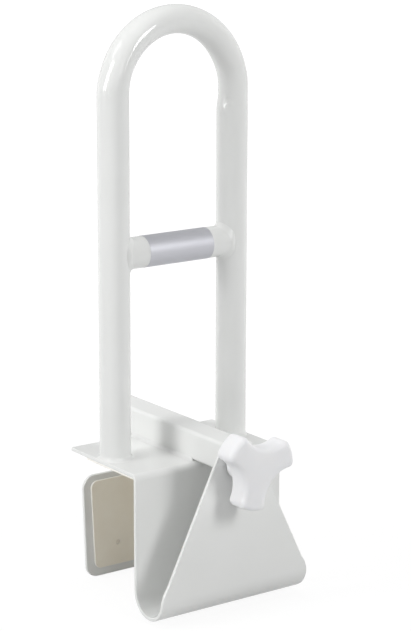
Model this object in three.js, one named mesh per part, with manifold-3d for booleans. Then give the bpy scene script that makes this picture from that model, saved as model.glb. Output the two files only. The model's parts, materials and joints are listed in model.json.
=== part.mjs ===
// Bathtub safety rail: a bent tube handle on a screw clamp for the wall of a bathtub.
// Millimetres. X runs along the tub's rim, -Y is the outside of the tub, +Z is up.
// The origin lies on the rim: under the middle of the handle, on the rim pad's lower face.
import * as THREE from 'three';
import { mergeVertices } from 'three/addons/utils/BufferGeometryUtils.js';
import Module from 'manifold-3d';

const wasm = await Module();
wasm.setup();

// Clearances and cuts
const GAP = 0.3;             // welded, moulded or riveted pieces that seat on each other
const RUN_GAP = 0.2;         // shaft or washer that turns
const SLIDE_GAP = 0.5;       // slide tube in guide tube, per side
const OVERRUN = 2;           // how far a cutting solid passes the faces it cuts
const MERGE = 1e-4;          // vertices closer than this are one

// Folded bracket, one piece of sheet
const SHEET = 3;
const BRACKET_WIDTH = 144;
const RIM_PAD_THICK = 2.5;
const REAR_EDGE = 45.4;      // hoop's plane to the top plate's rear edge
const JAW_FACE = -46.6;      // hoop's plane to the jaw plate's face on the tub
const CHANNEL_WIDTH = 40.4;  // outside of the U, front to back
const CHANNEL_DROP = 115.5;  // top plate's upper face to the bottom of the U
const BEND_INNER = 2.5;
const REAR_CORNER = 2.5;     // rounded corners at the rear edge
const FRONT_TOP_MARGIN = 2;  // front plate's top edge past the guide tube, per side
const FRONT_TOP_CORNER = 5;

// Handle
const TUBE_R = 12.7;
const TUBE_WALL = 1.5;
const LEG_MARGIN = 1.6;      // leg's outside to the top plate's side
const ARCH_HEIGHT = 291.8;   // top plate to the centre of the arch
const BAR_HEIGHT = 166.5;    // top plate to the centre of the cross bar
const BEND_FLAT_SHARE = 0.1; // how much the bend flattens the tube across its radius
const BEND_EASE_SHARE = 0.12; // part of the half circle in which the flattening builds up
const LABEL_WIDTH = 62;
const LABEL_THICK = 0.3;

// Weld beads
const BEAD = 3.4;            // width on each of the two pieces
const BEAD_HOLLOW_SHARE = 0.35; // face of the bead, from flat to a quarter circle's hollow
const SEAM_BEAD = 2.4;       // half width of the cross bar's beads
const SEAM_GRIND = 1.8;      // cross bar's beads are lower by this at the front and the back
const BEAD_INSET = 1;        // end of the guide tube's beads to the plate's bend and rear edge
const FRONT_BEAD = 17;       // length of the upright beads at the front plate

// Guide tube and slide tube
const GUIDE_SIDE = 24;
const GUIDE_WALL = 1.6;
const GUIDE_CORNER = 3;
const GUIDE_OVERHANG = 36.6; // rear edge of the top plate to the rear end of the guide tube
const SLIDE_WALL = 2;
const SLIDE_CORNER = 1.2;
const SLIDE_LENGTH = 141;
const CAP_HEAD = 2;
const CAP_SPIGOT = 9;
const CAP_WALL = 1.8;

// Moving jaw
const JAW_SETBACK = 2.6;     // top plate's rear edge to the jaw's front face
const JAW_DROP_TOP = 29;     // top plate's upper face to the jaw's upper edge
const JAW_HEIGHT = 89.5;
const JAW_TOP_WIDTH = 117;
const JAW_BOTTOM_WIDTH = 110.6;
const JAW_CORNER = 11;
const NECK_WIDTH = 14.8;
const NECK_ROOT_WIDTH = 52;  // where the neck meets the jaw's upper edge
const NECK_FLARE = 17;       // height over which the neck widens
const NECK_CORNER = 3;
const SLOT_GAP = 0.6;        // neck in the guide tube's slot, per side
const GUSSET_THICK = 4;
const GUSSET_DEPTH = 24;
const GUSSET_HEIGHT = 62;

// Rubber pads and their rivets
const PAD_THICK = 2;
const PAD_SIDE_INSET = 8;
const PAD_TOP_INSET = 5;
const PAD_BOTTOM_INSET = 7.5;
const PAD_CORNER = 6;
const FIXED_PAD_DROP = 12;   // top plate's upper face to the fixed pad's upper edge
const RIM_PAD_SIDE_INSET = 2;
const RIM_PAD_REAR_INSET = 20.4;
const RIM_PAD_CORNER = 2;
const RIVET_R = 1.1;
const RIVET_HEAD_R = 2;
const RIVET_HEAD = 0.8;
const RIVET_TAIL_R = 2.4;
const RIVET_TAIL = 1.2;
const RIVET_SINK = 0.4;      // head below the pad's face
const RIVET_SPACING = 50.6;
const RIVET_RISE = 27;       // jaw's lower edge to the rivets

// Screw
const SCREW_DROP = 3.2;      // screw's axis below the middle of the guide tube
const ROD_R = 4;
const ROD_CHAMFER = 0.8;
const ROD_TAIL = 6;          // rod's rear end behind the hoop's plane
const BUSH_FLANGE_R = 9.5;
const BUSH_FLANGE = 1.5;
const BUSH_WALL = 1.4;
const BUSH_LENGTH = 7;       // behind its flange
const WASHER_R = 10.5;
const WASHER = 1.4;
const COLLAR_R = 6.6;
const COLLAR = 3.2;
const COLLAR_PIN_R = 1;
const NUT_LENGTH = 12;
const NUT_STANDOFF = 3.6;    // drive nut behind the retaining collar
const NUT_INSET = 0.4;       // nut's sides to the slide tube's sides
const NUT_EDGE = 1;

// Knob
const KNOB_R = 33.2;         // tips of the lobes
const KNOB_VALLEY_R = 16.7;
const KNOB_SCOOP_R = 26.4;   // hollow between two lobes
const KNOB_CORNER = 5;       // corners of a lobe's tip
const KNOB_LOBES = 3;
const KNOB_TURN = 0.29;      // angle of the first lobe above X, in radians
const KNOB_DEPTH = 20;
const KNOB_EDGE = 4.2;
const HUB_R = 13.5;
const HUB_DEPTH = 9;
const INSERT_R = 8.5;        // centre to corner
const INSERT_DEPTH = 16;
const INSERT_SIDES = 6;
const ROD_GRIP = 14;         // rod inside the insert
const DEPTH_SPARE = 1;       // bottom of a blind hole past what fills it

// Facets
const ROUND = 40;
const SMALL_ROUND = 24;
const SEAM_STEPS = 44;
const BEAD_STEPS = 12;
const CORNER_STEPS = 4;
const HOLLOW_STEPS = 5;
const FOLD_STEPS = 14;
const ARCH_STEPS = 28;
const KNOB_STEPS = 5;
const KNOB_EDGE_STEPS = 3;

// Places worked out from the sizes
const PLATE_TOP = RIM_PAD_THICK + SHEET;
const LEG_X = BRACKET_WIDTH / 2 - LEG_MARGIN - TUBE_R;
const ARCH_Z = PLATE_TOP + ARCH_HEIGHT;
const BAR_Z = PLATE_TOP + BAR_HEIGHT;
const JAW_FRONT = JAW_FACE - SHEET;
const FRONT_FACE = JAW_FACE - CHANNEL_WIDTH;
const FRONT_BACK = FRONT_FACE + SHEET;
const FOLD_R = CHANNEL_WIDTH / 2;
const FOLD_Y = JAW_FACE - FOLD_R;
const FOLD_Z = PLATE_TOP - CHANNEL_DROP + FOLD_R;
const GUIDE_REAR = REAR_EDGE + GUIDE_OVERHANG;
const GUIDE_Z = PLATE_TOP + GUIDE_SIDE / 2;
const GUIDE_TOP = PLATE_TOP + GUIDE_SIDE;
const GUIDE_BORE = GUIDE_SIDE - 2 * GUIDE_WALL;
const SLIDE_SIDE = GUIDE_BORE - 2 * SLIDE_GAP;
const SLIDE_BORE = SLIDE_SIDE - 2 * SLIDE_WALL;
const SLIDE_BOTTOM = GUIDE_Z - SLIDE_SIDE / 2;
const JAW_Y = REAR_EDGE + JAW_SETBACK;
const JAW_TOP = PLATE_TOP - JAW_DROP_TOP;
const JAW_BOTTOM = JAW_TOP - JAW_HEIGHT;
const SCREW_Z = GUIDE_Z - SCREW_DROP;
const BUSH_BORE = ROD_R + RUN_GAP;
const BUSH_R = BUSH_BORE + BUSH_WALL;
const WASHER_FRONT = FRONT_FACE - BUSH_FLANGE - RUN_GAP - WASHER;
const HUB_BACK = WASHER_FRONT - RUN_GAP;
const KNOB_BACK = HUB_BACK - HUB_DEPTH;
const KNOB_FRONT = KNOB_BACK - KNOB_DEPTH;
const COLLAR_FRONT = FRONT_FACE + BUSH_LENGTH + RUN_GAP;
const PIN_Y = COLLAR_FRONT + COLLAR / 2;
const SLIDE_FRONT = COLLAR_FRONT + COLLAR + NUT_STANDOFF + NUT_LENGTH;
const SLIDE_REAR = SLIDE_FRONT + SLIDE_LENGTH;

// Materials
function finish(color, roughness, metalness = 0) {
  return () => new THREE.MeshStandardMaterial({ color, roughness, metalness });
}

const enamel = finish(0xe9e9e6, 0.25);
const knobPlastic = finish(0xf1f1ef, 0.4);
const padRubber = finish(0xd9cfb8, 0.8);
const foil = finish(0xb9babf, 0.35, 0.7);
const zincSteel = finish(0xa9abad, 0.4, 0.9);
const darkNylon = finish(0x6f6f6c, 0.6);
const whiteNylon = finish(0xdddcd6, 0.55);
const brass = finish(0xb08d4a, 0.4, 0.9);

// Solids and booleans
function toSolid(geometry) {
  const bare = geometry.clone();
  bare.deleteAttribute('normal');
  bare.deleteAttribute('uv');
  const merged = mergeVertices(bare, MERGE);
  return new wasm.Manifold(new wasm.Mesh({
    numProp: 3,
    vertProperties: merged.attributes.position.array,
    triVerts: Uint32Array.from(merged.index.array),
  }));
}

function toGeometry(solid) {
  const mesh = solid.getMesh();
  const geometry = new THREE.BufferGeometry();
  geometry.setAttribute('position', new THREE.BufferAttribute(mesh.vertProperties, 3));
  geometry.setIndex(new THREE.BufferAttribute(mesh.triVerts, 1));
  geometry.computeVertexNormals();
  return geometry;
}

function cut(geometry, ...tools) {
  return toGeometry(tools.reduce((solid, tool) => solid.subtract(toSolid(tool)), toSolid(geometry)));
}

function join(geometry, ...others) {
  return toGeometry(others.reduce((solid, other) => solid.add(toSolid(other)), toSolid(geometry)));
}

function common(geometry, other) {
  return toGeometry(toSolid(geometry).intersect(toSolid(other)));
}

// An outline is drawn flat and extruded along one axis between two places.
const X = new THREE.Vector3(1, 0, 0);
const Y = new THREE.Vector3(0, 1, 0);
const Z = new THREE.Vector3(0, 0, 1);
const SIDE_VIEW = new THREE.Matrix4().makeBasis(Y, Z, X);
const FRONT_VIEW = new THREE.Matrix4().makeBasis(X, Z, Y.clone().negate());

function extrude(shape, depth, curveSegments) {
  return new THREE.ExtrudeGeometry(shape, { depth, bevelEnabled: false, curveSegments });
}

function alongX(shape, from, to, curveSegments = CORNER_STEPS) {
  return extrude(shape, to - from, curveSegments).applyMatrix4(SIDE_VIEW).translate(from, 0, 0);
}

function alongY(shape, from, to, curveSegments = CORNER_STEPS) {
  return extrude(shape, to - from, curveSegments).applyMatrix4(FRONT_VIEW).translate(0, to, 0);
}

function alongZ(shape, from, to, curveSegments = CORNER_STEPS) {
  return extrude(shape, to - from, curveSegments).translate(0, 0, from);
}

function box(x, y, z, width, depth, height) {
  return new THREE.BoxGeometry(width, depth, height).translate(x, y, z);
}

// A polygon whose corners are rounded: each point is [x, y, radius].
function rounded(points) {
  const shape = new THREE.Shape();
  points.forEach(([x, y, radius], i) => {
    const corner = new THREE.Vector2(x, y);
    const before = new THREE.Vector2(...points.at(i - 1)).sub(corner).normalize();
    const after = new THREE.Vector2(...points[(i + 1) % points.length]).sub(corner).normalize();
    const reach = radius / Math.tan(Math.acos(before.dot(after)) / 2);
    const start = corner.clone().addScaledVector(before, reach);
    const end = corner.clone().addScaledVector(after, reach);
    if (i === 0) shape.moveTo(start.x, start.y);
    else shape.lineTo(start.x, start.y);
    if (radius > 0) shape.quadraticCurveTo(x, y, end.x, end.y);
  });
  shape.closePath();
  return shape;
}

function roundedRect(width, height, radius, x = 0, y = 0) {
  const [w, h] = [width / 2, height / 2];
  return rounded([
    [x - w, y - h, radius],
    [x + w, y - h, radius],
    [x + w, y + h, radius],
    [x - w, y + h, radius],
  ]);
}

function squareTubeSection(side, wall, corner) {
  const section = roundedRect(side, side, corner);
  const inner = corner > wall ? corner - wall : 0;
  section.holes.push(roundedRect(side - 2 * wall, side - 2 * wall, inner));
  return section;
}

function disc(radius) {
  return new THREE.Shape().absarc(0, 0, radius, 0, 2 * Math.PI);
}

function ring(radius, bore) {
  const section = disc(radius);
  section.holes.push(disc(bore));
  return section;
}

// A turned piece along Y. Its profile, as [radius, y], starts and ends on the axis or closes on itself.
function turned(profile, segments = SMALL_ROUND) {
  const points = profile.map(([radius, y]) => new THREE.Vector2(radius, y));
  const [start] = points;
  return new THREE.LatheGeometry(start.x > 0 ? [...points, start] : points, segments);
}

// Pieces of the screw are drawn round Y and lifted to the screw's axis.
function onScrew(geometry) {
  return geometry.translate(0, 0, SCREW_Z);
}

const object = new THREE.Group();

function piece(name, geometry, material) {
  const mesh = new THREE.Mesh(geometry, material());
  mesh.name = name;
  object.add(mesh);
}

const SIDES = [['left', -1], ['right', 1]];

// Hoop tube: two legs and a half circle between them.
class HoopPath extends THREE.Curve {
  getPoint(t, target = new THREE.Vector3()) {
    const step = t * (ARCH_STEPS + 2) - 1;
    if (step < 0) return target.set(-LEG_X, 0, PLATE_TOP + (1 + step) * ARCH_HEIGHT);
    if (step > ARCH_STEPS) return target.set(LEG_X, 0, ARCH_Z - (step - ARCH_STEPS) * ARCH_HEIGHT);
    const angle = Math.PI * (1 - step / ARCH_STEPS);
    return target.set(LEG_X * Math.cos(angle), 0, ARCH_Z + LEG_X * Math.sin(angle));
  }

  // The steps are those of the legs and the arch, not equal lengths.
  getUtoTmapping(u) {
    return u;
  }
}

// Bending flattens the tube across the bend's radius and widens it the other way.
function flattenBend(geometry) {
  const place = geometry.attributes.position;
  for (let i = 0; i < place.count; i += 1) {
    const [x, y, z] = [place.getX(i), place.getY(i), place.getZ(i) - ARCH_Z];
    if (z > MERGE) {
      const angle = Math.atan2(z, Math.abs(x));
      const ease = Math.min(1, angle / (Math.PI * BEND_EASE_SHARE));
      const flat = BEND_FLAT_SHARE * ease;
      const radius = LEG_X + (Math.hypot(x, z) - LEG_X) * (1 - flat);
      const scale = radius / Math.hypot(x, z);
      place.setXYZ(i, x * scale, y * (1 + flat), ARCH_Z + z * scale);
    }
  }
  return geometry;
}

function hoopTube() {
  const geometry = new THREE.ExtrudeGeometry(ring(TUBE_R, TUBE_R - TUBE_WALL), {
    steps: ARCH_STEPS + 2,
    curveSegments: ROUND / 2,
    extrudePath: new HoopPath(),
  });
  return flattenBend(geometry);
}

// Cross bar: its ends are cut to the legs.
function legCylinder(side, radius, from, to) {
  return alongZ(disc(radius), from, to, ROUND / 2).translate(side * LEG_X, 0, 0);
}

function barCylinder(section, from, to) {
  return alongX(section, from, to, ROUND / 2).translate(0, 0, BAR_Z);
}

function crossBar() {
  const tube = barCylinder(ring(TUBE_R, TUBE_R - TUBE_WALL), -LEG_X, LEG_X);
  const reach = TUBE_R + OVERRUN;
  const legs = SIDES.map(([, side]) => legCylinder(side, TUBE_R + GAP, BAR_Z - reach, BAR_Z + reach));
  return cut(tube, ...legs);
}

// Bead round the cross bar's end: it follows the seam, and is ground lower where the two tubes are level.
function barBead(side) {
  const positions = [];
  const index = [];
  const at = (i, j) => (i % SEAM_STEPS) * BEAD_STEPS + (j % BEAD_STEPS);
  for (let i = 0; i < SEAM_STEPS; i += 1) {
    const round = i * 2 * Math.PI / SEAM_STEPS;
    const seamX = Math.hypot(TUBE_R * Math.sin(round), SEAM_BEAD);
    const seamR = TUBE_R - SEAM_GRIND * Math.cos(round) ** 2;
    for (let j = 0; j < BEAD_STEPS; j += 1) {
      const turn = j * 2 * Math.PI / BEAD_STEPS;
      const radius = seamR + SEAM_BEAD * Math.sin(turn);
      const x = side * (LEG_X - seamX + SEAM_BEAD * Math.cos(turn));
      positions.push(x, radius * Math.cos(round), BAR_Z + radius * Math.sin(round));
      const face = [at(i, j), at(i, j + 1), at(i + 1, j + 1), at(i + 1, j)];
      const [a, b, c, d] = side > 0 ? face : face.reverse();
      index.push(a, b, c, a, c, d);
    }
  }
  const bead = new THREE.BufferGeometry();
  bead.setAttribute('position', new THREE.Float32BufferAttribute(positions, 3));
  bead.setIndex(index);
  const reach = TUBE_R + BEAD + OVERRUN;
  const leg = legCylinder(side, TUBE_R + GAP, BAR_Z - reach, BAR_Z + reach);
  const bar = barCylinder(disc(TUBE_R + GAP), -LEG_X, LEG_X);
  return cut(bead, leg, bar);
}

// Section of a bead in a corner, with a hollow face, as [out from the corner, up from it].
function beadSection() {
  const points = [[0, 0]];
  for (let i = 0; i <= HOLLOW_STEPS; i += 1) {
    const along = i / HOLLOW_STEPS;
    const turn = along * Math.PI / 2;
    const out = THREE.MathUtils.lerp(1 - along, 1 - Math.sin(turn), BEAD_HOLLOW_SHARE);
    const up = THREE.MathUtils.lerp(along, 1 - Math.cos(turn), BEAD_HOLLOW_SHARE);
    points.push([BEAD * out, BEAD * up]);
  }
  return points;
}

// Bead round a leg's foot, cut off at the top plate's side.
function footBead(side) {
  const profile = beadSection().map(([out, up]) => [TUBE_R + GAP + out, up]);
  const bead = turned(profile, ROUND).rotateX(Math.PI / 2).translate(side * LEG_X, 0, PLATE_TOP);
  const reach = TUBE_R + BEAD + OVERRUN;
  const plate = box(0, 0, PLATE_TOP, BRACKET_WIDTH - 2 * GAP, 2 * reach, 2 * reach);
  return common(bead, plate);
}

// A bead's outline in a flat view, mirrored for the left side, from a corner at (x, y).
function beadShape(side, section, x, y) {
  return new THREE.Shape(section.map(([out, up]) => new THREE.Vector2(side * (x + out), y + up)));
}

// Bead along the guide tube: it fills the groove under the tube's rounded corner.
function guideBead(side) {
  const [, ...face] = beadSection();
  const outline = beadShape(side, [[-GUIDE_CORNER, 0], ...face], GUIDE_SIDE / 2, PLATE_TOP);
  const envelope = roundedRect(GUIDE_SIDE + 2 * GAP, GUIDE_SIDE + 2 * GAP, GUIDE_CORNER + GAP, 0, GUIDE_Z);
  const [front, rear] = [JAW_FACE + BEND_INNER + BEAD_INSET, REAR_EDGE - BEAD_INSET];
  return cut(alongY(outline, front, rear), alongY(envelope, front - OVERRUN, rear + OVERRUN));
}

// Upright bead between the guide tube's side and the front plate.
function frontBead(side) {
  const outline = beadShape(side, beadSection(), GUIDE_SIDE / 2 + GAP, FRONT_BACK);
  return alongZ(outline, GUIDE_Z - FRONT_BEAD / 2, GUIDE_Z + FRONT_BEAD / 2);
}

// Folded bracket: the side profile is extruded, then trimmed to the front plate's outline.
function bracket() {
  const profile = new THREE.Shape();
  const bendOuter = BEND_INNER + SHEET;
  const bendY = JAW_FACE + BEND_INNER;
  const bendZ = PLATE_TOP - bendOuter;
  profile.moveTo(REAR_EDGE, PLATE_TOP);
  profile.absarc(bendY, bendZ, bendOuter, Math.PI / 2, Math.PI);
  profile.absarc(FOLD_Y, FOLD_Z, FOLD_R - SHEET, 0, -Math.PI, true);
  profile.lineTo(FRONT_BACK, GUIDE_TOP);
  profile.lineTo(FRONT_FACE, GUIDE_TOP);
  profile.absarc(FOLD_Y, FOLD_Z, FOLD_R, -Math.PI, 0);
  profile.absarc(bendY, bendZ, BEND_INNER, Math.PI, Math.PI / 2, true);
  profile.lineTo(REAR_EDGE, RIM_PAD_THICK);
  const half = BRACKET_WIDTH / 2;
  const folded = alongX(profile, -half, half, FOLD_STEPS);

  const frontHalf = GUIDE_SIDE / 2 + FRONT_TOP_MARGIN;
  const frontOutline = rounded([
    [-half - OVERRUN, FOLD_Z - FOLD_R - OVERRUN, 0],
    [half + OVERRUN, FOLD_Z - FOLD_R - OVERRUN, 0],
    [half + OVERRUN, FOLD_Z, 0],
    [half, FOLD_Z, 0],
    [frontHalf, GUIDE_TOP, FRONT_TOP_CORNER],
    [-frontHalf, GUIDE_TOP, FRONT_TOP_CORNER],
    [-half, FOLD_Z, 0],
    [-half - OVERRUN, FOLD_Z, 0],
  ]);
  const frontKeep = alongY(frontOutline, FRONT_FACE - OVERRUN, FOLD_Y);
  const rearKeep = alongZ(rounded([
    [-half - OVERRUN, FOLD_Y, 0],
    [half + OVERRUN, FOLD_Y, 0],
    [half + OVERRUN, JAW_FACE, 0],
    [half, JAW_FACE, 0],
    [half, REAR_EDGE, REAR_CORNER],
    [-half, REAR_EDGE, REAR_CORNER],
    [-half, JAW_FACE, 0],
    [-half - OVERRUN, JAW_FACE, 0],
  ]), FOLD_Z - FOLD_R - OVERRUN, PLATE_TOP + OVERRUN);
  const trimmed = common(folded, join(frontKeep, rearKeep));

  const screwHole = onScrew(alongY(disc(BUSH_R + GAP), FRONT_FACE - OVERRUN, FRONT_BACK + OVERRUN,
    SMALL_ROUND / 2));
  const rivetHoles = SIDES.map(([, side]) => rivetHole(side, JAW_FRONT, JAW_FACE, fixedRivetZ()));
  return cut(trimmed, screwHole, ...rivetHoles);
}

// Guide tube: its lower wall is open behind the top plate, where the neck passes.
function guideTube() {
  const tube = alongY(squareTubeSection(GUIDE_SIDE, GUIDE_WALL, GUIDE_CORNER), FRONT_BACK, GUIDE_REAR);
  const slotLength = GUIDE_OVERHANG + OVERRUN;
  const slot = box(0, REAR_EDGE + slotLength / 2, -GUIDE_SIDE / 2, NECK_WIDTH + 2 * SLOT_GAP,
    slotLength, 2 * (GUIDE_WALL + SLIDE_GAP / 2));
  return cut(tube, slot).translate(0, 0, GUIDE_Z);
}

function slideTube() {
  return alongY(squareTubeSection(SLIDE_SIDE, SLIDE_WALL, SLIDE_CORNER), SLIDE_FRONT, SLIDE_REAR)
    .translate(0, 0, GUIDE_Z);
}

function slideEndCap() {
  const spigotSide = SLIDE_BORE - 2 * GAP;
  const head = alongY(roundedRect(SLIDE_SIDE, SLIDE_SIDE, SLIDE_CORNER), SLIDE_REAR, SLIDE_REAR + CAP_HEAD);
  const spigot = alongY(squareTubeSection(spigotSide, CAP_WALL, 0), SLIDE_REAR - CAP_SPIGOT,
    SLIDE_REAR + CAP_HEAD / 2);
  return join(head, spigot).translate(0, 0, GUIDE_Z);
}

// Drive nut: a square block on the slide tube's front end, bored for the screw.
function driveNut() {
  const side = SLIDE_SIDE - 2 * NUT_INSET;
  const front = SLIDE_FRONT - NUT_LENGTH;
  const block = alongY(roundedRect(side, side, NUT_EDGE, 0, GUIDE_Z), front, SLIDE_FRONT);
  const bore = onScrew(alongY(disc(ROD_R + RUN_GAP), front - OVERRUN, SLIDE_FRONT + OVERRUN,
    SMALL_ROUND / 2));
  return cut(block, bore);
}

// Moving jaw: rounded plate with a neck up to the slide tube.
function jawOutline(sideInset, topInset, bottomInset, corner) {
  const lean = (JAW_TOP_WIDTH - JAW_BOTTOM_WIDTH) / 2 / JAW_HEIGHT;
  const [top, bottom] = [JAW_TOP - topInset, JAW_BOTTOM + bottomInset];
  const topHalf = JAW_TOP_WIDTH / 2 - sideInset - topInset * lean;
  const bottomHalf = JAW_BOTTOM_WIDTH / 2 - sideInset + bottomInset * lean;
  return rounded([
    [-bottomHalf, bottom, corner],
    [bottomHalf, bottom, corner],
    [topHalf, top, corner],
    [-topHalf, top, corner],
  ]);
}

function movingJaw() {
  const plate = alongY(jawOutline(0, 0, 0, JAW_CORNER), JAW_Y, JAW_Y + SHEET);
  const neckOutline = rounded([
    [-NECK_ROOT_WIDTH / 2, JAW_TOP - OVERRUN, 0],
    [NECK_ROOT_WIDTH / 2, JAW_TOP - OVERRUN, 0],
    [NECK_WIDTH / 2, JAW_TOP + NECK_FLARE, NECK_CORNER],
    [NECK_WIDTH / 2, SLIDE_BOTTOM, 0],
    [-NECK_WIDTH / 2, SLIDE_BOTTOM, 0],
    [-NECK_WIDTH / 2, JAW_TOP + NECK_FLARE, NECK_CORNER],
  ]);
  const neck = alongY(neckOutline, JAW_Y, JAW_Y + SHEET);
  const holes = SIDES.map(([, side]) => rivetHole(side, JAW_Y, JAW_Y + SHEET, movingRivetZ()));
  return cut(join(plate, neck), ...holes);
}

// Gusset: upright triangle behind the neck, under the slide tube.
function jawGusset() {
  const back = JAW_Y + SHEET;
  const outline = rounded([
    [back, SLIDE_BOTTOM, 0],
    [back, SLIDE_BOTTOM - GUSSET_HEIGHT, 0],
    [back + GUSSET_THICK, SLIDE_BOTTOM - GUSSET_HEIGHT, 0],
    [back + GUSSET_DEPTH, SLIDE_BOTTOM - GUSSET_THICK, 0],
    [back + GUSSET_DEPTH, SLIDE_BOTTOM, 0],
  ]);
  return alongX(outline, -GUSSET_THICK / 2, GUSSET_THICK / 2);
}

// Pads and rivets
function fixedRivetZ() {
  return PLATE_TOP - FIXED_PAD_DROP - (JAW_HEIGHT - PAD_TOP_INSET - RIVET_RISE);
}

function movingRivetZ() {
  return JAW_BOTTOM + RIVET_RISE;
}

function rivetHole(side, from, to, z, radius = RIVET_R) {
  return alongY(disc(radius + GAP), from - OVERRUN, to + OVERRUN, SMALL_ROUND / 4)
    .translate(side * RIVET_SPACING / 2, 0, z);
}

// A pad has a hole for each rivet's shank and a deeper, wider one for its head.
function pad(outline, from, to, headAtFrom, z) {
  const sink = RIVET_SINK + RIVET_HEAD;
  const [headFrom, headTo] = headAtFrom ? [from - OVERRUN, from + sink] : [to - sink, to + OVERRUN];
  const holes = SIDES.flatMap(([, side]) => [
    rivetHole(side, from, to, z),
    alongY(disc(RIVET_HEAD_R + GAP), headFrom, headTo, SMALL_ROUND / 4)
      .translate(side * RIVET_SPACING / 2, 0, z),
  ]);
  return cut(alongY(outline, from, to), ...holes);
}

function movingPad() {
  const outline = jawOutline(PAD_SIDE_INSET, PAD_TOP_INSET, PAD_BOTTOM_INSET, PAD_CORNER);
  return pad(outline, JAW_Y - PAD_THICK, JAW_Y, true, movingRivetZ());
}

// The fixed pad has the moving pad's outline, raised to the jaw plate.
function fixedPad() {
  const outline = jawOutline(PAD_SIDE_INSET, PAD_TOP_INSET, PAD_BOTTOM_INSET, PAD_CORNER);
  const rise = fixedRivetZ() - movingRivetZ();
  return pad(outline, JAW_FACE, JAW_FACE + PAD_THICK, false, movingRivetZ()).translate(0, 0, rise);
}

function rimPad() {
  const front = JAW_FACE + BEND_INNER + SLIDE_GAP;
  const rear = REAR_EDGE - RIM_PAD_REAR_INSET;
  const width = BRACKET_WIDTH - 2 * RIM_PAD_SIDE_INSET;
  return alongZ(roundedRect(width, rear - front, RIM_PAD_CORNER, 0, (front + rear) / 2), 0, RIM_PAD_THICK);
}

// Rivet from the pad's face (head) through the pad and the sheet to its clinched tail.
function rivet(side, padFace, direction, z) {
  const headTop = padFace + direction * RIVET_SINK;
  const sheetBack = padFace + direction * (PAD_THICK + SHEET);
  const profile = [
    [0, headTop],
    [RIVET_HEAD_R, headTop],
    [RIVET_HEAD_R, headTop + direction * (RIVET_HEAD - GAP / 2)],
    [RIVET_R, headTop + direction * (RIVET_HEAD - GAP / 2)],
    [RIVET_R, sheetBack],
    [RIVET_TAIL_R, sheetBack],
    [RIVET_R, sheetBack + direction * RIVET_TAIL],
    [0, sheetBack + direction * RIVET_TAIL],
  ];
  const ordered = direction > 0 ? profile : profile.reverse();
  return turned(ordered, SMALL_ROUND / 2).translate(side * RIVET_SPACING / 2, 0, z);
}

// Screw and knob, turned about Y
function threadedRod() {
  const front = HUB_BACK - ROD_GRIP;
  const profile = [
    [0, front],
    [ROD_R - ROD_CHAMFER, front],
    [ROD_R, front + ROD_CHAMFER],
    [ROD_R, ROD_TAIL - ROD_CHAMFER],
    [ROD_R - ROD_CHAMFER, ROD_TAIL],
    [0, ROD_TAIL],
  ];
  return onScrew(cut(turned(profile), pinHole()));
}

function pinHole() {
  const reach = COLLAR_R + OVERRUN;
  return alongX(disc(COLLAR_PIN_R + RUN_GAP), -reach, reach, SMALL_ROUND / 4).translate(0, PIN_Y, 0);
}

function retainingCollar() {
  const section = ring(COLLAR_R, ROD_R + GAP);
  return onScrew(cut(alongY(section, COLLAR_FRONT, COLLAR_FRONT + COLLAR, SMALL_ROUND / 2), pinHole()));
}

function collarPin() {
  const reach = COLLAR_R - GAP;
  return onScrew(alongX(disc(COLLAR_PIN_R), -reach, reach, SMALL_ROUND / 4).translate(0, PIN_Y, 0));
}

function frontBush() {
  const profile = [
    [BUSH_BORE, FRONT_FACE - BUSH_FLANGE],
    [BUSH_FLANGE_R, FRONT_FACE - BUSH_FLANGE],
    [BUSH_FLANGE_R, FRONT_FACE],
    [BUSH_R, FRONT_FACE],
    [BUSH_R, FRONT_FACE + BUSH_LENGTH],
    [BUSH_BORE, FRONT_FACE + BUSH_LENGTH],
  ];
  return onScrew(turned(profile));
}

function thrustWasher() {
  return onScrew(alongY(ring(WASHER_R, BUSH_BORE), WASHER_FRONT, WASHER_FRONT + WASHER, SMALL_ROUND / 2));
}

function insertOutline(radius) {
  const outline = new THREE.Shape();
  for (let i = 0; i < INSERT_SIDES; i += 1) {
    const angle = KNOB_TURN + i * 2 * Math.PI / INSERT_SIDES;
    const [x, y] = [radius * Math.cos(angle), radius * Math.sin(angle)];
    if (i === 0) outline.moveTo(x, y);
    else outline.lineTo(x, y);
  }
  return outline;
}

function knobInsert() {
  const outline = insertOutline(INSERT_R);
  outline.holes.push(disc(ROD_R + GAP));
  return onScrew(alongY(outline, HUB_BACK - INSERT_DEPTH, HUB_BACK, SMALL_ROUND / 2));
}

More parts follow.
